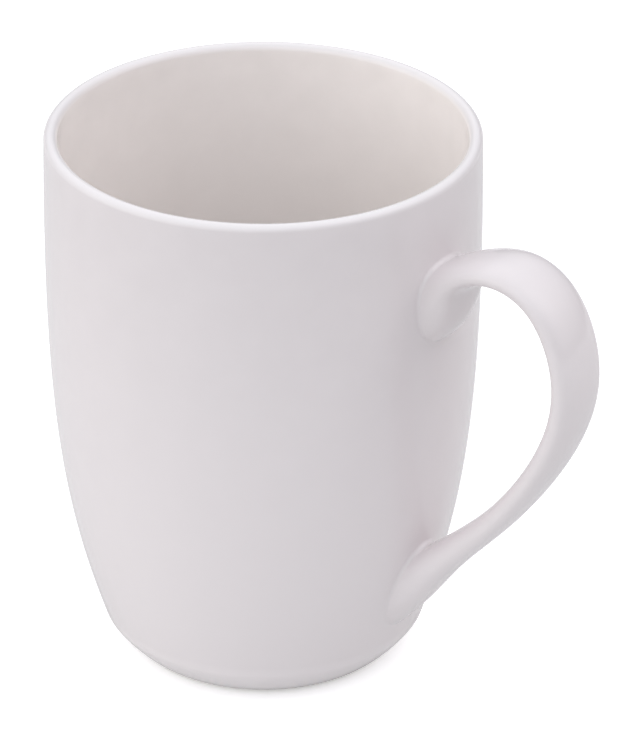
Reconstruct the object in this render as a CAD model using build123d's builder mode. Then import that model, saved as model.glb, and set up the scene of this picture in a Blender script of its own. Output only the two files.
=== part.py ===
"""A glazed ceramic mug: a turned cup, a solid cast strap handle, the slip that lutes it on, and the glaze.

Frame: the cup's axis is Z, the foot ring stands on Z = 0 and the handle points along +X.
Outlines are (radius, height) pairs in millimetres. A lean is the outward tilt of a surface from
upright, in degrees. A depth is how far a surface lies below the glazed one.
"""

from build123d import *
import math
import os

# Outside of the glazed cup
height = 105.5
rim_radius = 40.5
rim_lean = -1.0  # the wall draws in a little just below the lip
wall_start = (30.6, 6.9)
wall_lean = 18.5
wall_pull_low, wall_pull_high = 25.0, 52.9  # how far the wall's bulge reaches from each end
base_start = (24.7, 0.55)
base_lean = 70.0
base_pull_low, base_pull_high = 1.6, 1.4

# Inside of the glazed cup
lip_thickness = 2.6
well_start = (29.0, 12.5)  # where the inner wall turns into the floor
well_lean = 17.0
well_pull_low, well_pull_high = 24.0, 46.0
corner_pull = 5.5
floor_radius, floor_height = 18.5, 6.6

# Foot ring, left bare, and the recess inside it
foot_radius, foot_width, foot_rounding = 24.2, 2.8, 0.5
recess_depth, recess_slope = 1.9, 1.2

# Coat and joints
glaze = 0.3
slip_film = 0.4
bead_radius = 0.7
overrun = 5.0  # how far a cutting form runs past the cup

# Strap handle, glazed: radius and height of the section's centre, then its thickness and width
handle_sections = [
    (31.0, 80.0, 17.0, 13.6),
    (38.8, 82.6, 14.2, 14.6),
    (45.6, 89.7, 6.2, 14.2),
    (55.4, 92.9, 4.6, 14.0),
    (64.3, 88.7, 5.0, 13.6),
    (69.1, 78.2, 5.6, 13.0),
    (68.4, 66.4, 5.5, 12.4),
    (62.8, 54.0, 5.1, 11.8),
    (53.6, 41.4, 5.1, 11.2),
    (43.2, 30.7, 6.3, 11.0),
    (34.6, 22.0, 9.4, 13.6),
    (26.0, 14.6, 12.6, 16.4),
]

# The half plane in which the cup is drawn, opposite the handle
profile_plane = Plane((0, 0, 0), x_dir=(-1, 0, 0), z_dir=(0, 1, 0))


def inset(point, lean, depth):
    """The point moved `depth` towards the axis, square to a surface with this lean."""
    angle = math.radians(lean)
    return (point[0] - depth * math.cos(angle), point[1] + depth * math.sin(angle))


def along(point, lean, distance):
    """The point moved up along a surface with this lean."""
    angle = math.radians(lean)
    return (point[0] + distance * math.sin(angle), point[1] + distance * math.cos(angle))


def outer_line(depth):
    """Draws the base curve, the wall and the outer half of the lip, and returns their two ends."""
    start = inset(base_start, base_lean, depth)
    heel = inset(wall_start, wall_lean, depth)
    top = inset((rim_radius, height - lip_thickness / 2), rim_lean, depth)
    Bezier(
        start,
        along(start, base_lean, base_pull_low),
        along(heel, wall_lean, -base_pull_high),
        heel,
    )
    Bezier(
        heel,
        along(heel, wall_lean, wall_pull_low),
        along(top, rim_lean, -wall_pull_high),
        top,
    )
    return start, half_lip(top, depth, 1)


def inner_line(depth):
    """Draws the inner half of the lip, the inner wall and the floor, and returns their two ends."""
    top = inset((rim_radius - lip_thickness, height - lip_thickness / 2), rim_lean, -depth)
    well = inset(well_start, well_lean, -depth)
    corner = (floor_radius, floor_height - depth)
    centre = (0, floor_height - depth)
    crest = half_lip(top, depth, -1)
    Bezier(
        top,
        along(top, rim_lean, -well_pull_high),
        along(well, well_lean, well_pull_low),
        well,
    )
    Bezier(
        well,
        along(well, well_lean, -corner_pull),
        (corner[0] + corner_pull, corner[1]),
        corner,
    )
    Line(corner, centre)
    return crest, centre


def half_lip(top, depth, side):
    """Draws the lip's quarter circle from the wall's top, and returns the crest."""
    radius = lip_thickness / 2 - depth
    middle = (rim_radius - lip_thickness / 2, height - lip_thickness / 2)
    crest = (middle[0], middle[1] + radius)
    halfway = (middle[0] + side * radius * math.sqrt(0.5), middle[1] + radius * math.sqrt(0.5))
    ThreePointArc(top, halfway, crest)
    return crest


def cup_form(depth, run):
    """The cup filled solid. With a run, it carries on past both ends of the coat, to cut with."""
    bare_start = inset(base_start, base_lean, glaze)
    roof = height + run if run else height - glaze
    bottom = -run if run else bare_start[1]
    with BuildPart() as form:
        with BuildSketch(profile_plane):
            with BuildLine():
                start, crest = outer_line(depth)
                Polyline(crest, (crest[0], roof), (0, roof), (0, bottom), (bare_start[0], bottom))
                Line((bare_start[0], bottom), start)
            make_face()
        revolve(axis=Axis.Z)
    return form.part


def handle_form(depth):
    """The strap with both ends running on into the wall."""
    last = len(handle_sections) - 1
    with BuildPart() as form:
        for index, (radius, level, thickness, width) in enumerate(handle_sections):
            before = handle_sections[max(index - 1, 0)]
            after = handle_sections[min(index + 1, last)]
            heading = (after[0] - before[0], 0, after[1] - before[1])
            with BuildSketch(Plane((radius, 0, level), x_dir=(0, 1, 0), z_dir=heading)):
                Ellipse(width / 2 - depth, thickness / 2 - depth)
        loft()
    return form.part


def joined_form(depth, run):
    """The filled cup and the strap as one, with a smooth bead around each root."""
    with BuildPart() as form:
        add(cup_form(depth, run))
        add(handle_form(depth))
        roots = form.edges(Select.NEW).filter_by(lambda edge: edge.center().X > foot_radius)
        fillet(roots, bead_radius + depth)
    return form.part


filled_cup = cup_form(glaze, overrun)
joined_clay = joined_form(glaze, overrun)

# Cup: wall, floor and foot ring in one piece of bare clay
with BuildPart() as cup_body:
    with BuildSketch(profile_plane) as cup_section:
        with BuildLine():
            base, lip_outside = outer_line(glaze)
            lip_inside, well_bottom = inner_line(glaze)
            ring_inside = foot_radius - foot_width
            Polyline(
                base,
                (foot_radius, base[1]),
                (foot_radius, 0),
                (ring_inside, 0),
                (ring_inside - recess_slope, recess_depth),
                (0, recess_depth),
                well_bottom,
            )
        make_face()
        fillet(cup_section.vertices().group_by(Axis.Y)[0], foot_rounding)
    revolve(axis=Axis.Z)

# Handle: its two ends follow the wall, and stand off it by the film of slip
with BuildPart() as handle:
    add(handle_form(glaze))
    add(cup_form(glaze - slip_film, overrun), mode=Mode.SUBTRACT)

# Slip: a film between the wall and each end of the handle, squeezed out into a bead around it
with BuildPart() as all_slip:
    add(joined_clay)
    add(filled_cup, mode=Mode.SUBTRACT)
    add(handle.part, mode=Mode.SUBTRACT)
with BuildPart() as upper_joint_slip:
    add(all_slip.solids().sort_by(Axis.Z)[-1])
with BuildPart() as lower_joint_slip:
    add(all_slip.solids().sort_by(Axis.Z)[0])

# Outer glaze: over the wall, the handle and the beads, from the foot to the crest of the lip
with BuildPart() as outer_glaze:
    add(joined_form(0, 0))
    add(joined_clay, mode=Mode.SUBTRACT)

# Inner glaze: the liner poured into the cup, from the crest of the lip to the floor
with BuildPart() as inner_glaze:
    with BuildSketch(profile_plane):
        with BuildLine():
            upper_crest, upper_centre = inner_line(0)
            lower_crest, lower_centre = inner_line(glaze)
            Line(upper_crest, lower_crest)
            Line(upper_centre, lower_centre)
        make_face()
    revolve(axis=Axis.Z)

# Base glaze: the coat in the recess, inside the bare foot ring
with BuildPart() as base_glaze:
    with BuildSketch(profile_plane):
        roof_radius = foot_radius - foot_width - recess_slope
        edge_radius = roof_radius + recess_slope * glaze / recess_depth
        with BuildLine():
            Polyline(
                (0, recess_depth),
                (roof_radius, recess_depth),
                (edge_radius, recess_depth - glaze),
                (0, recess_depth - glaze),
                close=True,
            )
        make_face()
    revolve(axis=Axis.Z)

os.makedirs("parts", exist_ok=True)
for name, piece in {
    "cup_body": cup_body,
    "handle": handle,
    "upper_joint_slip": upper_joint_slip,
    "lower_joint_slip": lower_joint_slip,
    "outer_glaze": outer_glaze,
    "inner_glaze": inner_glaze,
    "base_glaze": base_glaze,
}.items():
    piece.part.label = name
    export_step(piece.part, f"parts/{name}.step")
    print(name, len(piece.part.solids()), "solid", round(piece.part.volume), "mm3")
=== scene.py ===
"""The looks of the glazed mug: fine meshes of its glaze, clay and slip, each standing for a CAD node.

Outlines are (radius, height) pairs in millimetres, in the frame's own axes: Z is the cup's axis and the
handle points along +X. They repeat the CAD's outlines, and meshes are brought to metres as they are made.
A lean is the outward tilt of a surface from upright, in degrees. A depth is how far a surface lies below
the glazed one.
"""

import math

import bpy
import numpy as np
from mathutils import Matrix, Vector


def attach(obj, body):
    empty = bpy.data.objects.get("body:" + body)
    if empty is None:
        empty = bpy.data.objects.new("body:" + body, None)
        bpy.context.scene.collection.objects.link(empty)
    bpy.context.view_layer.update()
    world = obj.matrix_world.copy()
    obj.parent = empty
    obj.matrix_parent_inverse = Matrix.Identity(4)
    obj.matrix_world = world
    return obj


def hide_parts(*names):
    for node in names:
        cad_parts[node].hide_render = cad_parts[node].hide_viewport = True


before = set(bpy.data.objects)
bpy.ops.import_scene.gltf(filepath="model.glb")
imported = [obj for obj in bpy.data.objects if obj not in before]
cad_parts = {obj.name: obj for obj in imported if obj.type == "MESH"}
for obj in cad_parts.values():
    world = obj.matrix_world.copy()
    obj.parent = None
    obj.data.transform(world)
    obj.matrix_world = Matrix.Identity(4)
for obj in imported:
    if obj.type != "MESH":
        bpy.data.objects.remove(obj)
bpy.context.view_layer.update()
MM = 0.001  # a millimetre in metres

# ---------------------------------------------------------------- the mug's shape, millimetres
HEIGHT = 105.5
RIM_RADIUS = 40.5
RIM_LEAN = -1.0
WALL_START = (30.6, 6.9)
WALL_LEAN = 18.5
WALL_PULL_LOW, WALL_PULL_HIGH = 25.0, 52.9
BASE_START = (24.7, 0.55)
BASE_LEAN = 70.0
BASE_PULL_LOW, BASE_PULL_HIGH = 1.6, 1.4

LIP_THICKNESS = 2.6
WELL_START = (29.0, 12.5)
WELL_LEAN = 17.0
WELL_PULL_LOW, WELL_PULL_HIGH = 24.0, 46.0
CORNER_PULL = 5.5
FLOOR_RADIUS, FLOOR_HEIGHT = 18.5, 6.6

FOOT_RADIUS, FOOT_WIDTH, FOOT_ROUNDING = 24.2, 2.8, 0.5
RING_INSIDE = FOOT_RADIUS - FOOT_WIDTH
RECESS_DEPTH, RECESS_SLOPE = 1.9, 1.2
GLAZE, SLIP_FILM = 0.3, 0.4
CLAY_CLEARANCE = 0.03  # how far the handle and the slip are drawn below the glaze

# Strap handle: radius and height of the section's centre, then its thickness and width
HANDLE_SECTIONS = np.array(
    [
        (31.0, 80.0, 17.0, 13.6),
        (38.8, 82.6, 14.2, 14.6),
        (45.6, 89.7, 6.2, 14.2),
        (55.4, 92.9, 4.6, 14.0),
        (64.3, 88.7, 5.0, 13.6),
        (69.1, 78.2, 5.6, 13.0),
        (68.4, 66.4, 5.5, 12.4),
        (62.8, 54.0, 5.1, 11.8),
        (53.6, 41.4, 5.1, 11.2),
        (43.2, 30.7, 6.3, 11.0),
        (34.6, 22.0, 9.4, 13.6),
        (26.0, 14.6, 12.6, 16.4),
    ]
)
SECTION_FULLNESS = 2.3
BEAD_RADIUS = 0.7
MOST_ALIKE, LEAST_SLANT = 0.9, 0.5  # limits that keep a bead's reach small where the strap grazes the wall

# Both keep the meshes inside the CAD's box
STRAP_EASE = 0.12  # how much thinner than the CAD's strap this one is
COAT_EASE = 0.9996  # scale that draws the outer coat in towards the axis

# The glaze in the recess: how far down the ring's side it reaches, as a share of the recess's depth
MENISCUS_REACH = 0.55
MENISCUS_WIDTH = 2.2  # how far in from the recess's corner it starts to curve down
MENISCUS_PULL_IN, MENISCUS_PULL_OUT = 2.0, 0.45

# ---------------------------------------------------------------- mesh densities
TURN = 240  # columns round the cup
WINDOW_COLUMNS = 24  # columns and rows of the opening left in the wall for each root
WINDOW_ROWS = 30
WINDOW_LOW = (6.9, 38.5)  # heights of the lower root's opening
WINDOW_HIGH = (70.0, 100.5)
ROWS_BETWEEN, ROWS_ABOVE = 30, 5  # levels between the openings, and above the higher one
STRAP_RINGS = 150
BEAD_RINGS = 10
APRON_RINGS = 4
BASE_STEPS, WALL_STEPS, LIP_STEPS = 10, 90, 12  # steps along each stretch of an outline
CORNER_STEPS, FLOOR_STEPS, ROUNDING_STEPS = 24, 16, 8
FOOT_STEPS = 6
FINE_BASE_STEPS, FINE_WALL_STEPS = 400, 1600  # for reading the wall's radius at any height
STRAP_SAMPLES = 1200


# ---------------------------------------------------------------- outlines
def inset(point, lean, depth):
    """The point moved `depth` towards the axis, square to a surface with this lean."""
    angle = math.radians(lean)
    return np.array((point[0] - depth * math.cos(angle), point[1] + depth * math.sin(angle)))


def along(point, lean, distance):
    """The point moved up along a surface with this lean."""
    angle = math.radians(lean)
    return np.array((point[0] + distance * math.sin(angle), point[1] + distance * math.cos(angle)))


def bezier(start, pull_a, pull_b, end, steps):
    """Points of a cubic curve, one row each."""
    t = np.linspace(0, 1, steps + 1)[:, None]
    return (
        (1 - t) ** 3 * start + 3 * (1 - t) ** 2 * t * pull_a + 3 * (1 - t) * t**2 * pull_b + t**3 * end
    )


def half_lip(depth, side, steps):
    """The lip's quarter circle, from the wall's top to the crest. The side is 1 outside, -1 inside."""
    middle = np.array((RIM_RADIUS - LIP_THICKNESS / 2, HEIGHT - LIP_THICKNESS / 2))
    radius = LIP_THICKNESS / 2 - depth
    angle = np.linspace(0, math.pi / 2, steps + 1)
    return middle + radius * np.stack([side * np.cos(angle), np.sin(angle)], axis=1)


def base_curve(depth, steps):
    """From the foot out to where the wall begins."""
    start = inset(BASE_START, BASE_LEAN, depth)
    heel = inset(WALL_START, WALL_LEAN, depth)
    return bezier(
        start,
        along(start, BASE_LEAN, BASE_PULL_LOW),
        along(heel, WALL_LEAN, -BASE_PULL_HIGH),
        heel,
        steps,
    )


def wall_curve(depth, steps):
    """From the base up to the lip."""
    heel = inset(WALL_START, WALL_LEAN, depth)
    top = inset((RIM_RADIUS, HEIGHT - LIP_THICKNESS / 2), RIM_LEAN, depth)
    return bezier(
        heel,
        along(heel, WALL_LEAN, WALL_PULL_LOW),
        along(top, RIM_LEAN, -WALL_PULL_HIGH),
        top,
        steps,
    )


def inner_curve(depth):
    """From the crest of the lip down the inside to the floor's centre."""
    top = inset((RIM_RADIUS - LIP_THICKNESS, HEIGHT - LIP_THICKNESS / 2), RIM_LEAN, -depth)
    well = inset(WELL_START, WELL_LEAN, -depth)
    corner = np.array((FLOOR_RADIUS, FLOOR_HEIGHT - depth))
    wall = bezier(
        top,
        along(top, RIM_LEAN, -WELL_PULL_HIGH),
        along(well, WELL_LEAN, WELL_PULL_LOW),
        well,
        WALL_STEPS,
    )
    turn = bezier(
        well,
        along(well, WELL_LEAN, -CORNER_PULL),
        corner + (CORNER_PULL, 0),
        corner,
        CORNER_STEPS,
    )
    floor = np.linspace(corner, (0, corner[1]), FLOOR_STEPS)
    return np.vstack([half_lip(depth, -1, LIP_STEPS)[::-1], wall[1:], turn[1:], floor[1:]])


OUTSIDE = np.vstack([base_curve(0, FINE_BASE_STEPS), wall_curve(0, FINE_WALL_STEPS)[1:]])


def wall_radius(z):
    """The glazed wall's radius at this height."""
    return np.interp(z, OUTSIDE[:, 1], OUTSIDE[:, 0])


def wall_point(turn, z):
    """Points on the glazed wall at these angles round the axis and these heights."""
    radius = wall_radius(z)
    return np.stack([radius * np.cos(turn), radius * np.sin(turn), z], axis=-1)


def wall_normal(point):
    """The wall's outward direction at these points."""
    step = 0.05  # how far above and below the point the radius is read
    slope = (wall_radius(point[:, 2] + step) - wall_radius(point[:, 2] - step)) / (2 * step)
    turn = np.arctan2(point[:, 1], point[:, 0])
    return unit(np.stack([np.cos(turn), np.sin(turn), -slope], axis=-1))


def unit(vectors):
    return vectors / np.linalg.norm(vectors, axis=-1, keepdims=True)


# ---------------------------------------------------------------- the strap's lines and beads
def smooth_through(stations, at):
    """A natural cubic spline through the stations, read at places counted in stations."""
    count = len(stations)
    matrix = 4 * np.eye(count) + np.eye(count, k=1) + np.eye(count, k=-1)
    matrix[0, :2] = (1, 0)
    matrix[-1, -2:] = (0, 1)
    change = np.zeros_like(stations)
    change[1:-1] = 6 * (stations[2:] - 2 * stations[1:-1] + stations[:-2])
    bend = np.linalg.solve(matrix, change)
    index = np.clip(at.astype(int), 0, count - 2)
    t = (at - index)[:, None]
    return (
        (1 - t) * stations[index]
        + t * stations[index + 1]
        + ((1 - t) ** 3 - (1 - t)) * bend[index] / 6
        + (t**3 - t) * bend[index + 1] / 6
    )


def section_angles():
    """One angle round the strap's section for each vertex round a root's opening."""
    sides = (WINDOW_ROWS, WINDOW_COLUMNS, WINDOW_ROWS, WINDOW_COLUMNS)
    parts = [
        math.radians(-45 + 90 * side) + math.radians(90) * np.arange(count) / count
        for side, count in enumerate(sides)
    ]
    return np.concatenate(parts)


def strap_lines():
    """Fine lines along the strap's surface, one for each angle round it: (places, angles, 3)."""
    places = np.linspace(0, len(HANDLE_SECTIONS) - 1, STRAP_SAMPLES)
    radius, level, thickness, width = smooth_through(HANDLE_SECTIONS, places).T
    heading = unit(np.stack([np.gradient(radius), np.gradient(level)], axis=1))
    angle = section_angles()
    power = 2 / SECTION_FULLNESS
    across = np.sign(np.cos(angle)) * np.abs(np.cos(angle)) ** power
    over = np.sign(np.sin(angle)) * np.abs(np.sin(angle)) ** power
    rise = (thickness[:, None] - STRAP_EASE) / 2 * over
    return np.stack(
        [
            radius[:, None] - rise * heading[:, 1:],
            width[:, None] / 2 * across,
            level[:, None] + rise * heading[:, :1],
        ],
        axis=-1,
    )


def read_lines(lines, places):
    """The point of each line at its own place, counted in samples."""
    index = np.clip(places.astype(int), 0, len(lines) - 2)
    column = np.arange(lines.shape[1])
    t = (places - index)[..., None]
    return (1 - t) * lines[index, column] + t * lines[index + 1, column]


def meeting(lines, way):
    """Where each line meets the wall. Way is 1 where the lines leave it and -1 where they run into it."""
    clear = np.hypot(lines[..., 0], lines[..., 1]) - wall_radius(lines[..., 2])
    outside = clear > 0
    if way > 0:
        first = outside.argmax(axis=0)
    else:
        first = len(lines) - 1 - outside[::-1].argmax(axis=0)
    column = np.arange(lines.shape[1])
    here, before = clear[first, column], clear[first - way, column]
    return first - way * here / (here - before)


def bead(lines, way):
    """The bead where the strap's lines meet the wall.

    Returns each line's place at the bead's edge on the strap, and the bead's rings from the strap to
    the wall.
    """
    place = meeting(lines, way)
    corner = read_lines(lines, place)
    leaving = way * unit(read_lines(lines, place + 1) - read_lines(lines, place - 1))
    tangent = unit(np.roll(corner, -1, axis=0) - np.roll(corner, 1, axis=0))
    outward = unit(np.cross(tangent, wall_normal(corner)))
    flip = np.sign((outward * (corner - corner.mean(axis=0))).sum(axis=-1))
    outward = outward * flip[:, None]
    opening = np.arccos(np.clip((leaving * outward).sum(axis=-1), -MOST_ALIKE, MOST_ALIKE))
    opening = even_out(opening)
    reach = BEAD_RADIUS / np.tan(opening / 2)
    slant = np.linalg.norm(np.cross(leaving, tangent), axis=-1)
    reach_up = even_out(reach / np.maximum(slant, LEAST_SLANT))
    step = np.linalg.norm(read_lines(lines, place + 1) - corner, axis=-1)
    start_place = place + way * reach_up / step
    start = read_lines(lines, start_place)
    start_way = way * unit(read_lines(lines, start_place + 1) - read_lines(lines, start_place - 1))
    landing = corner + reach[:, None] * outward
    end = wall_point(np.arctan2(landing[:, 1], landing[:, 0]), landing[:, 2])
    normal = wall_normal(end)
    end_way = unit(outward - (outward * normal).sum(axis=-1, keepdims=True) * normal)
    turn = math.pi - opening
    pull = 4 / 3 * np.tan(turn / 4) / np.tan(turn / 2)
    t = np.linspace(0, 1, BEAD_RINGS + 1)[:, None, None]
    pull_a = start - (pull * reach_up)[:, None] * start_way
    pull_b = end - (pull * reach)[:, None] * end_way
    rings = (1 - t) ** 3 * start + 3 * (1 - t) ** 2 * t * pull_a + 3 * (1 - t) * t**2 * pull_b + t**3 * end
    return start_place, rings


def even_out(values):
    """Values round a root, smoothed a little so that the bead's edge is an even curve."""
    for _ in range(3):
        values = (np.roll(values, 1) + 2 * values + np.roll(values, -1)) / 4
    return values


def apron(edge, opening_edge):
    """Rings on the wall from the bead's edge to the edge of the opening, both left out."""
    def flat(points):
        return np.stack([np.arctan2(points[:, 1], points[:, 0]), points[:, 2]], axis=-1)

    t = np.linspace(0, 1, APRON_RINGS + 1)[1:-1, None, None]
    rings = (1 - t) * flat(edge) + t * flat(opening_edge)
    return wall_point(rings[..., 0], rings[..., 1])


# ---------------------------------------------------------------- meshes
def make_piece(name, points, faces, nodes, sharp_over=50):
    """A smooth-shaded piece from points in millimetres, standing for these CAD nodes."""
    mesh = bpy.data.meshes.new(name)
    mesh.from_pydata([tuple(p) for p in points * MM], [], [tuple(map(int, f)) for f in faces])
    mesh.polygons.foreach_set("use_smooth", [True] * len(mesh.polygons))
    mesh.set_sharp_from_angle(angle=math.radians(sharp_over))
    mesh.update()
    piece = bpy.data.objects.new(name, mesh)
    bpy.context.scene.collection.objects.link(piece)
    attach(piece, "root")
    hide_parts(*nodes)
    return piece


def numbered(rings):
    """A number for each point of the rings: (rings, columns)."""
    return np.arange(rings[..., 0].size).reshape(rings.shape[:2])


def ring_faces(number):
    """Quads between each ring of numbered points and the next."""
    beside = np.roll(number, -1, axis=1)
    return np.stack([number[:-1], beside[:-1], beside[1:], number[1:]], axis=-1).reshape(-1, 4)


def turned(outline):
    """The outline's points at each column round the axis: (points, columns, 3)."""
    turn = 2 * math.pi * np.arange(TURN) / TURN
    radius, level = outline[:, :1], outline[:, 1:]
    level = np.broadcast_to(level, (len(outline), TURN))
    return np.stack([radius * np.cos(turn), radius * np.sin(turn), level], axis=-1)


def used_only(points, faces):
    """Drops the points that no face uses."""
    used, faces = np.unique(faces, return_inverse=True)
    return points[used], faces.reshape(-1, 4)


def vertex_normals(points, faces):
    a, b, c, d = (points[faces[:, n]] for n in range(4))
    face_normal = np.cross(c - a, d - b)
    normal = np.zeros_like(points)
    for corner in range(4):
        np.add.at(normal, faces[:, corner], face_normal)
    return unit(normal)


def open_edges(faces):
    """The directed edges of quads that only one face uses."""
    edges = np.concatenate([faces[:, [n, (n + 1) % 4]] for n in range(4)])
    known = set(map(tuple, edges))
    return np.array([e for e in map(tuple, edges) if (e[1], e[0]) not in known])


def coat(points, faces, depth):
    """A closed coat: the surface, the same surface `depth` below it, and walls along its open edges."""
    count = len(points)
    below = points - depth * vertex_normals(points, faces)
    rims = open_edges(faces)
    walls = np.stack([rims[:, 1], rims[:, 0], rims[:, 0] + count, rims[:, 1] + count], axis=1)
    return np.vstack([points, below]), np.vstack([faces, faces[:, ::-1] + count, walls])


def opening_edge(low_row, high_row, over_is_up):
    """Row and column of each grid vertex round a root's opening, in the order of the section's angles."""
    half = WINDOW_COLUMNS // 2
    near, far = (low_row, high_row) if over_is_up else (high_row, low_row)
    way = 1 if over_is_up else -1
    rising = [(near + way * n, half) for n in range(WINDOW_ROWS)]
    over = [(far, half - n) for n in range(WINDOW_COLUMNS)]
    falling = [(far - way * n, -half) for n in range(WINDOW_ROWS)]
    under = [(near, n - half) for n in range(WINDOW_COLUMNS)]
    return np.array(rising + over + falling + under)


def outer_surface():
    """The glazed outside: wall, lip and base as one grid, with the strap let into its two openings."""
    between = np.linspace(WINDOW_LOW[1], WINDOW_HIGH[0], ROWS_BETWEEN)
    top = HEIGHT - LIP_THICKNESS / 2
    levels = np.concatenate(
        [
            np.linspace(*WINDOW_LOW, WINDOW_ROWS + 1),
            between[1:-1],
            np.linspace(*WINDOW_HIGH, WINDOW_ROWS + 1),
            np.linspace(WINDOW_HIGH[1], top, ROWS_ABOVE)[1:-1],
        ]
    )
    base = base_curve(0, BASE_STEPS)
    wall = np.stack([wall_radius(levels), levels], axis=1)
    outline = np.vstack([base[:-1], wall, half_lip(0, 1, LIP_STEPS)])
    grid = turned(outline)
    low_row = len(base) - 1
    high_row = low_row + WINDOW_ROWS + len(between) - 1
    row, column = np.meshgrid(np.arange(len(outline) - 1), np.arange(TURN), indexing="ij")
    signed = (column + TURN // 2) % TURN - TURN // 2
    in_columns = (signed >= -WINDOW_COLUMNS // 2) & (signed < WINDOW_COLUMNS // 2)
    in_low = (row >= low_row) & (row < low_row + WINDOW_ROWS)
    in_high = (row >= high_row) & (row < high_row + WINDOW_ROWS)
    keep = ~(in_columns & (in_low | in_high))
    row, column = row[keep], column[keep]
    beside = (column + 1) % TURN
    faces = np.stack(
        [row * TURN + column, row * TURN + beside, (row + 1) * TURN + beside, (row + 1) * TURN + column],
        axis=1,
    )

    lines = strap_lines()
    high_place, high_bead = bead(lines, 1)
    low_place, low_bead = bead(lines, -1)
    high_edge = opening_edge(high_row, high_row + WINDOW_ROWS, True)
    low_edge = opening_edge(low_row, low_row + WINDOW_ROWS, False)
    share = np.linspace(0, 1, STRAP_RINGS + 1)[1:-1, None]
    strap = read_lines(lines, (1 - share) * high_place + share * low_place)
    high_apron = apron(high_bead[-1], grid[high_edge[:, 0], high_edge[:, 1]])
    low_apron = apron(low_bead[-1], grid[low_edge[:, 0], low_edge[:, 1]])
    rings = np.concatenate([high_apron[::-1], high_bead[::-1], strap, low_bead, low_apron])
    first = len(outline) * TURN
    numbers = np.vstack(
        [
            high_edge[:, 0] * TURN + high_edge[:, 1] % TURN,
            first + numbered(rings),
            low_edge[:, 0] * TURN + low_edge[:, 1] % TURN,
        ]
    )
    points = np.vstack([grid.reshape(-1, 3), rings.reshape(-1, 3)])
    return used_only(points, np.vstack([faces, ring_faces(numbers)]))


def lathe(outline):
    """An outline from axis to axis, turned round the axis and closed at both ends.

    Faces look to the right of the outline's way, with the axis on the left of the drawing.
    """
    rings = turned(outline[1:-1])
    ends = np.array([(0, 0, outline[0][1]), (0, 0, outline[-1][1])])
    return close_ends(rings, ends)


def close_ends(rings, ends):
    """The rings joined up, and a fan from each end's point to the ring beside it."""
    number = numbered(rings)
    beside = np.roll(number, -1, axis=1)
    start, stop = number.size, number.size + 1
    first_fan = [(start, b, a) for a, b in zip(number[0], beside[0])]
    last_fan = [(stop, a, b) for a, b in zip(number[-1], beside[-1])]
    return np.vstack([rings.reshape(-1, 3), ends]), list(ring_faces(number)) + first_fan + last_fan


def rounded_corner(before, corner, after, radius, steps):
    """Points of an arc that takes the place of a corner between two straight lines."""
    before, corner, after = (np.array(p, float) for p in (before, corner, after))
    to_before, to_after = unit(before - corner), unit(after - corner)
    half = math.acos(to_before @ to_after) / 2
    start = corner + radius / math.tan(half) * to_before
    end = corner + radius / math.tan(half) * to_after
    middle = corner + radius / math.sin(half) * unit(to_before + to_after)
    t = np.linspace(0, 1, steps + 1)[:, None]
    return middle + radius * unit((1 - t) * start + t * end - middle)


def build_outer_glaze():
    points, faces = coat(*outer_surface(), GLAZE)
    points[:, :2] *= COAT_EASE
    return make_piece("glaze_outside", points, faces, ["outer_glaze"])


def below_glaze(rings):
    """The rings moved in by the glaze's thickness and the clearance."""
    points = rings.reshape(-1, 3)
    normal = vertex_normals(points, ring_faces(numbered(rings)))
    return (points - (GLAZE + CLAY_CLEARANCE) * normal).reshape(rings.shape)


def build_handle():
    """The cast handle in bare clay, just inside the glaze, with a cap at each end against the wall."""
    lines = strap_lines()
    share = np.linspace(0, 1, STRAP_RINGS + 1)[:, None]
    rings = below_glaze(read_lines(lines, (1 - share) * meeting(lines, 1) + share * meeting(lines, -1)))
    points, faces = close_ends(rings, np.array([rings[0].mean(axis=0), rings[-1].mean(axis=0)]))
    return make_piece("clay_handle", points, faces, ["handle"])


def build_slip(name, node, way):
    """The slip squeezed out round one root, as a band under the glaze's bead."""
    rings = below_glaze(bead(strap_lines(), way)[1][::-way])
    points, faces = coat(rings.reshape(-1, 3), ring_faces(numbered(rings)), SLIP_FILM)
    return make_piece(name, points, faces, [node])


def build_inner_glaze():
    points, faces = lathe(np.vstack([inner_curve(GLAZE)[::-1], inner_curve(0)]))
    return make_piece("glaze_liner", points, faces, ["inner_glaze"])


def build_base_glaze():
    """The coat in the recess, drawn a little way down the ring's inside, where it thins to nothing."""
    roof_radius = RING_INSIDE - RECESS_SLOPE
    surface = RECESS_DEPTH - GLAZE
    edge = np.array((roof_radius + RECESS_SLOPE * MENISCUS_REACH, RECESS_DEPTH * (1 - MENISCUS_REACH)))
    under = np.linspace((0, surface), (roof_radius - MENISCUS_WIDTH, surface), FLOOR_STEPS)
    meniscus = bezier(
        under[-1],
        under[-1] + (MENISCUS_PULL_IN, 0),
        edge + MENISCUS_PULL_OUT * unit(np.array((-RECESS_SLOPE, RECESS_DEPTH))),
        edge,
        FLOOR_STEPS,
    )
    top = [(roof_radius, RECESS_DEPTH), (0, RECESS_DEPTH)]
    points, faces = lathe(np.vstack([under, meniscus[1:], top]))
    return make_piece("glaze_base", points, faces, ["base_glaze"])


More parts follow.
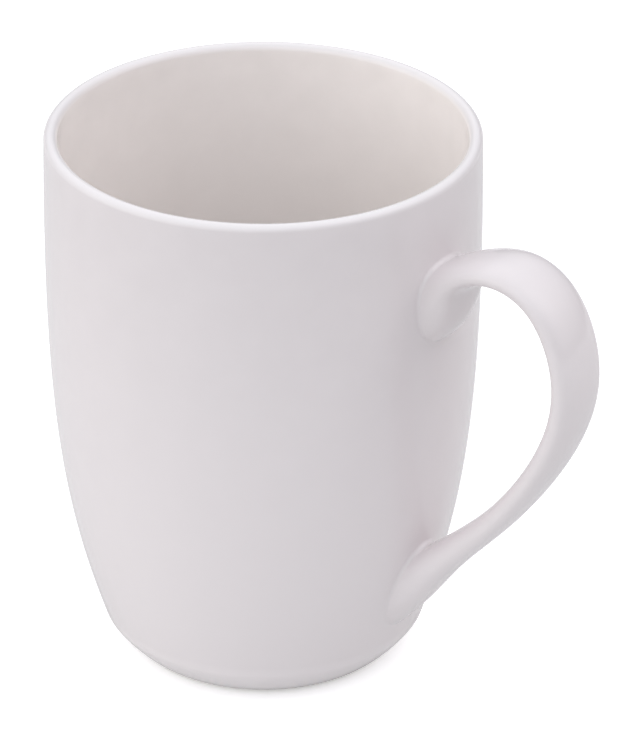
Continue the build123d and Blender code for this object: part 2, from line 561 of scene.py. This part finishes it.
def build_cup_body():
    """The bare clay under the glaze. Only its foot ring shows."""
    base = base_curve(GLAZE, BASE_STEPS)
    roof_edge = (RING_INSIDE - RECESS_SLOPE, RECESS_DEPTH)
    step = (FOOT_RADIUS, base[0][1])
    ring_inner, ring_outer = (RING_INSIDE, 0), (FOOT_RADIUS, 0)
    inner_corner = rounded_corner(roof_edge, ring_inner, ring_outer, FOOT_ROUNDING, ROUNDING_STEPS)
    outer_corner = rounded_corner(ring_inner, ring_outer, step, FOOT_ROUNDING, ROUNDING_STEPS)
    outline = np.vstack(
        [
            (0, RECESS_DEPTH),
            roof_edge,
            inner_corner,
            np.linspace(inner_corner[-1], outer_corner[0], FOOT_STEPS)[1:-1],
            outer_corner,
            step,
            base,
            wall_curve(GLAZE, WALL_STEPS)[1:],
            half_lip(GLAZE, 1, LIP_STEPS)[1:],
            inner_curve(GLAZE)[1:],
        ]
    )
    points, faces = lathe(outline)
    return make_piece("clay_cup", points, faces, ["cup_body"], sharp_over=35)


# ---------------------------------------------------------------- materials, with sizes in millimetres
THIN_LIP = (104.2, 105.2)  # heights between which the glaze thins over the lip
LIP_COLOUR = (0.79, 0.76, 0.77)
FOOT_PAINTED_LIGHT = (9.0, 1.5)  # heights between which painted light whitens the glaze towards the foot, lifting the underside's shade
PAINTED_FOOT_COLOUR = (0.99, 0.95, 0.96)
CLOUD_SIZE, CLOUD_SHADE = 7.0, 0.965
GLAZE_ROUGHNESS = (0.085, 0.135)
WAVE_SIZE, WAVE_DEPTH = 11.0, 0.05  # slow waves where the glaze ran
DIMPLE_SIZE, DIMPLE_DEPTH = 1.1, 0.0022  # the fine unevenness of its skin
CLAY_ROUGHNESS = (0.62, 0.82)
CLAY_SHADE = 0.80
PATCH_SIZE = 6.0
PIT_DEPTH = 0.05
RUBBED_HEIGHTS = (0.02, 0.35)  # heights between which the foot's grey rubbing fades out
RUBBED_COLOUR = (0.40, 0.38, 0.35)
PAPER_DRIFT_SIZE, PAPER_GRAIN_SIZE = 180.0, 60.0
PAPER_LIGHT, PAPER_DARK = (0.94, 0.94, 0.94), (0.93, 0.93, 0.93)
PAPER_ROUGHNESS = (0.85, 0.95)


def new_material(name):
    """A material with one surface shader, and a helper that adds and names its other nodes."""
    material = bpy.data.materials.new(name)
    material.use_nodes = True
    nodes, links = material.node_tree.nodes, material.node_tree.links
    shader = nodes["Principled BSDF"]

    def add(kind, inputs=(), **settings):
        node = nodes.new(kind)
        for key, value in settings.items():
            setattr(node, key, value)
        for key, value in dict(inputs).items():
            if isinstance(value, bpy.types.NodeSocket):
                links.new(value, node.inputs[key])
            else:
                node.inputs[key].default_value = value
        return node

    where = add("ShaderNodeTexCoord").outputs["Object"]
    return material, shader, add, links, where


def noise(add, where, size, detail=2.0, roughness=0.5):
    """Noise whose lumps are about `size` millimetres across."""
    made = add(
        "ShaderNodeTexNoise",
        {"Vector": where, "Scale": 1 / (size * MM), "Detail": detail, "Roughness": roughness},
    )
    return made.outputs["Fac"]


def spread(add, value, low, high, from_low=0.3, from_high=0.7):
    """The value, brought from its own range to another."""
    made = add(
        "ShaderNodeMapRange",
        {"Value": value, "From Min": from_low, "From Max": from_high, "To Min": low, "To Max": high},
    )
    return made.outputs["Result"]


def blend_colours(add, amount, first, second):
    """The first colour at amount 0 and the second at 1. Each is three numbers or another node's output."""
    made = add("ShaderNodeMix", data_type="RGBA")
    for socket, colour in ((6, first), (7, second)):
        if isinstance(colour, bpy.types.NodeSocket):
            made.id_data.links.new(colour, made.inputs[socket])
        else:
            made.inputs[socket].default_value = (*colour, 1)
    made.id_data.links.new(amount, made.inputs[0])
    return made.outputs[2]


def bump(add, height, distance, normal=None):
    """A normal tilted by a height whose full range is `distance` millimetres."""
    inputs = {"Height": height, "Distance": distance * MM, "Strength": 1.0}
    if normal is not None:
        inputs["Normal"] = normal
    return add("ShaderNodeBump", inputs).outputs["Normal"]


def glaze_material(name, low_colour, high_colour, low, high):
    """Glossy white glaze. Its tone drifts between two heights, in millimetres, as painted light and painted
    shade:
    lighter low down on the outer glaze, lighter near the top of the liner. Its surface is not quite even. The
    clay greys it where it is thin over the lip, and it is painted whiter above the foot, as painted light.
    """
    material, shader, add, links, where = new_material(name)
    level = add("ShaderNodeSeparateXYZ", {"Vector": where}).outputs["Z"]
    # painted light and painted shade: the tone drifting between the two heights stands in for how light
    # falls, not for a run in the glaze
    tone = blend_colours(add, spread(add, level, 0, 1, low * MM, high * MM), low_colour, high_colour)
    # The lip's grey is the glaze thinning; the whiter foot is painted light over the underside's shade.
    for heights, colour in ((THIN_LIP, LIP_COLOUR), (FOOT_PAINTED_LIGHT, PAINTED_FOOT_COLOUR)):
        share = spread(add, level, 0, 1, *(height * MM for height in heights))
        tone = blend_colours(add, share, tone, colour)
    cloud = noise(add, where, CLOUD_SIZE, detail=4.0)
    darker = tuple(CLOUD_SHADE * c for c in low_colour)
    tone = blend_colours(add, spread(add, cloud, 0, 0.2), tone, darker)
    links.new(tone, shader.inputs["Base Color"])
    links.new(spread(add, cloud, *GLAZE_ROUGHNESS), shader.inputs["Roughness"])
    waves = bump(add, noise(add, where, WAVE_SIZE, detail=1.0), WAVE_DEPTH)
    dimples = bump(add, noise(add, where, DIMPLE_SIZE, detail=2.0), DIMPLE_DEPTH, normal=waves)
    links.new(dimples, shader.inputs["Normal"])
    shader.inputs["IOR"].default_value = 1.5
    shader.inputs["Specular IOR Level"].default_value = 0.5
    return material


def clay_material(name, colour, grain):
    """Bare fired clay: matte and finely grained, greyer where it rubs on what it stands on."""
    material, shader, add, links, where = new_material(name)
    grains = noise(add, where, grain, detail=4.0, roughness=0.7)
    patches = noise(add, where, PATCH_SIZE, detail=3.0)
    darker = tuple(CLAY_SHADE * c for c in colour)
    tone = blend_colours(add, spread(add, grains, 0, 0.6), colour, darker)
    tone = blend_colours(add, spread(add, patches, 0, 0.35), tone, darker)
    level = add("ShaderNodeSeparateXYZ", {"Vector": where}).outputs["Z"]
    rubbed = spread(add, level, 0.45, 0, *(height * MM for height in RUBBED_HEIGHTS))
    tone = blend_colours(add, rubbed, tone, RUBBED_COLOUR)
    links.new(tone, shader.inputs["Base Color"])
    links.new(spread(add, grains, *CLAY_ROUGHNESS), shader.inputs["Roughness"])
    links.new(bump(add, grains, PIT_DEPTH), shader.inputs["Normal"])
    shader.inputs["Specular IOR Level"].default_value = 0.3
    return material


def floor_material():
    """Pale paper that glows a little. The camera sees it whiter than it shines on the mug."""
    material, shader, add, links, where = new_material("studio_floor")
    seen = add("ShaderNodeLightPath").outputs["Is Camera Ray"]
    drift = spread(add, noise(add, where, PAPER_DRIFT_SIZE), 0, 1)
    paper = blend_colours(add, drift, PAPER_LIGHT, PAPER_DARK)
    links.new(blend_colours(add, seen, FLOOR_BOUNCE, paper), shader.inputs["Base Color"])
    links.new(spread(add, seen, FLOOR_GLOW, FLOOR_LIFT, 0, 1), shader.inputs["Emission Strength"])
    grain = noise(add, where, PAPER_GRAIN_SIZE)
    links.new(spread(add, grain, *PAPER_ROUGHNESS), shader.inputs["Roughness"])
    shader.inputs["Specular IOR Level"].default_value = 0.1
    shader.inputs["Emission Color"].default_value = (1, 1, 1, 1)
    return material


def dress(thing, material):
    thing.data.materials.clear()
    thing.data.materials.append(material)


# ---------------------------------------------------------------- studio
FLOOR_BOUNCE = (0.60, 0.60, 0.60)
FLOOR_GLOW, FLOOR_LIFT = 0.12, 0.34  # glow cast on the mug, and glow that the camera sees
FLOOR_HALF, FLOOR_LEVEL = 3.0, -0.01 * MM  # half its width, and how far it lies under the foot, metres
# The camera: its place, in metres, before it is swung round Z, then the swing and how it is tilted
CAMERA_PLACE = (0, -0.9210, 0.5396)
CAMERA_ANGLES = (36.114, 27.769, 0.676, 0.217)  # swing, downward pitch, yaw and roll, degrees
LENS, SENSOR_WIDTH = 265.57, 36.0
# A light tent: where each soft glow is centred, how tight it is, how strong, and its colour
GLOWS = [
    ((-0.81, -0.59, 0.12), 3.0, 1.21, (1.02, 1.00, 0.98)),
    ((-0.15, -0.98, 0.25), 3.0, 0.91, (1.02, 1.00, 0.975)),
    ((0.41, -0.57, 0.70), 6.0, 0.62, (0.95, 1.00, 1.09)),
    ((0.57, 0.41, 0.70), 6.0, 1.70, (1.02, 0.970, 0.965)),
    ((-0.41, 0.57, 0.70), 6.0, 0.95, (1.00, 1.00, 1.02)),
    ((0.00, 0.00, 1.00), 2.0, 0.60, (0.94, 1.02, 1.11)),
]


def build_floor():
    """A large flat floor just under the foot."""
    mesh = bpy.data.meshes.new("floor")
    corners = [(x * FLOOR_HALF, y * FLOOR_HALF, FLOOR_LEVEL) for x, y in ((-1, -1), (1, -1), (1, 1), (-1, 1))]
    mesh.from_pydata(corners, [], [(0, 1, 2, 3)])
    floor = bpy.data.objects.new("floor", mesh)
    bpy.context.scene.collection.objects.link(floor)
    dress(floor, floor_material())


def build_tent():
    """The tent's glows are added up over the whole sky."""
    world = bpy.data.worlds.new("light_tent")
    world.use_nodes = True
    nodes, links = world.node_tree.nodes, world.node_tree.links
    heading = nodes.new("ShaderNodeTexCoord").outputs["Generated"]
    total = None
    for direction, tightness, strength, colour in GLOWS:
        facing = nodes.new("ShaderNodeVectorMath")
        facing.operation = "DOT_PRODUCT"
        links.new(heading, facing.inputs[0])
        facing.inputs[1].default_value = Vector(direction).normalized()
        front = nodes.new("ShaderNodeMath")
        front.operation = "MAXIMUM"
        links.new(facing.outputs["Value"], front.inputs[0])
        front.inputs[1].default_value = 0
        falloff = nodes.new("ShaderNodeMath")
        falloff.operation = "POWER"
        links.new(front.outputs[0], falloff.inputs[0])
        falloff.inputs[1].default_value = tightness
        glow = nodes.new("ShaderNodeVectorMath")
        glow.operation = "MULTIPLY_ADD"
        links.new(falloff.outputs[0], glow.inputs[0])
        glow.inputs[1].default_value = strength * Vector(colour)
        if total is None:
            glow.inputs[2].default_value = (0, 0, 0)
        else:
            links.new(total, glow.inputs[2])
        total = glow.outputs[0]
    links.new(total, nodes["Background"].inputs["Color"])
    bpy.context.scene.world = world


def build_camera():
    """The camera stands in front of the cup and to the right, looking down at it through a long lens."""
    swing, pitch, yaw, roll = (math.radians(angle) for angle in CAMERA_ANGLES)
    forward = Vector(
        (math.sin(yaw) * math.cos(pitch), math.cos(yaw) * math.cos(pitch), -math.sin(pitch))
    )
    level_right = Vector((math.cos(yaw), -math.sin(yaw), 0))
    level_up = level_right.cross(forward)
    right = math.cos(roll) * level_right + math.sin(roll) * level_up
    up = math.cos(roll) * level_up - math.sin(roll) * level_right
    turn = Matrix.Rotation(swing, 3, "Z")
    axes = Matrix([turn @ right, turn @ up, turn @ -forward]).transposed()
    lens = bpy.data.cameras.new("camera")
    lens.lens = LENS
    lens.sensor_width = SENSOR_WIDTH
    lens.clip_end = 20.0
    camera = bpy.data.objects.new("camera", lens)
    camera.matrix_world = Matrix.Translation(turn @ Vector(CAMERA_PLACE)) @ axes.to_4x4()
    bpy.context.scene.collection.objects.link(camera)
    bpy.context.scene.camera = camera


# ---------------------------------------------------------------- the scene
# The outer glaze is painted lighter towards the bottom, as painted light against the shade near the foot.
white_glaze = glaze_material("white_glaze", (0.855, 0.808, 0.818), (0.735, 0.690, 0.700), 0, 100)
# The liner is the same glaze as the outside, painted brighter as painted light, and darker deeper in as
# painted shade.
liner_glaze = glaze_material("liner_glaze", (0.843, 0.800, 0.776), (0.990, 0.942, 0.920), 62, 100)
bare_clay = clay_material("bare_clay", (0.74, 0.71, 0.66), 0.35)
fired_slip = clay_material("fired_slip", (0.72, 0.69, 0.64), 0.2)

for build, material in (
    (build_outer_glaze, white_glaze),
    (build_inner_glaze, liner_glaze),
    (build_base_glaze, white_glaze),
    (build_cup_body, bare_clay),
    (build_handle, bare_clay),
):
    dress(build(), material)
for name, node, way in (("slip_high", "upper_joint_slip", 1), ("slip_low", "lower_joint_slip", -1)):
    dress(build_slip(name, node, way), fired_slip)

build_floor()
build_tent()
build_camera()
bpy.context.scene.view_settings.view_transform = "Standard"
